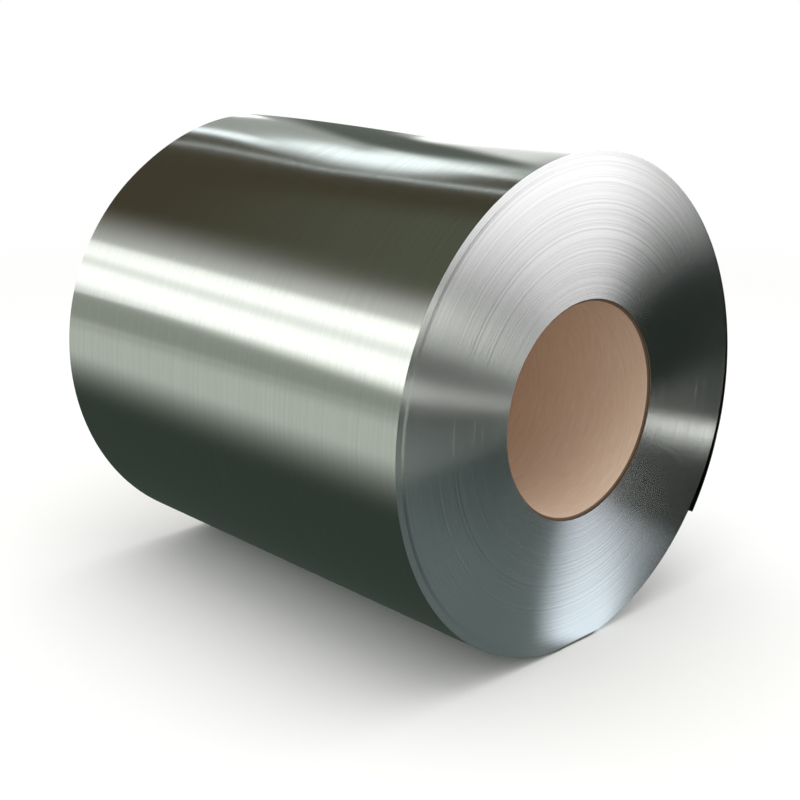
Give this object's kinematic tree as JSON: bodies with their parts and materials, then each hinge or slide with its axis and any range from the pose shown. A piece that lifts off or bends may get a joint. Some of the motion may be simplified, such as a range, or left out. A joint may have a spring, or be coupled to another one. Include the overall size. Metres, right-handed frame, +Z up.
{
  "type": "steel coil",
  "caption": "Coil of bright cold-rolled steel strip wound on a cardboard core, lying on its side, with staggered turns on its ends and the loose outer end sprung open.",
  "frame": {"origin": "on the floor below the middle of the coil, which lies on its side", "axes": "+X along the coil's axis, towards the end whose outer turns are pulled back; +Y towards the side with the strip's free end; +Z up"},
  "size_m": [1.253, 1.159, 1.173],
  "materials": {
    "steel_strip": "bright cold-rolled strip, lightly oiled, with fine rolling lines along the strip; sheared strip edges show as fine rings on the ends",
    "kraft_cardboard": "spirally wound kraft board, matt, unprinted"
  },
  "bodies": {
    "root": {"steel_coil": "steel_strip", "cardboard_core": "kraft_cardboard"}
  },
  "joints": []
}
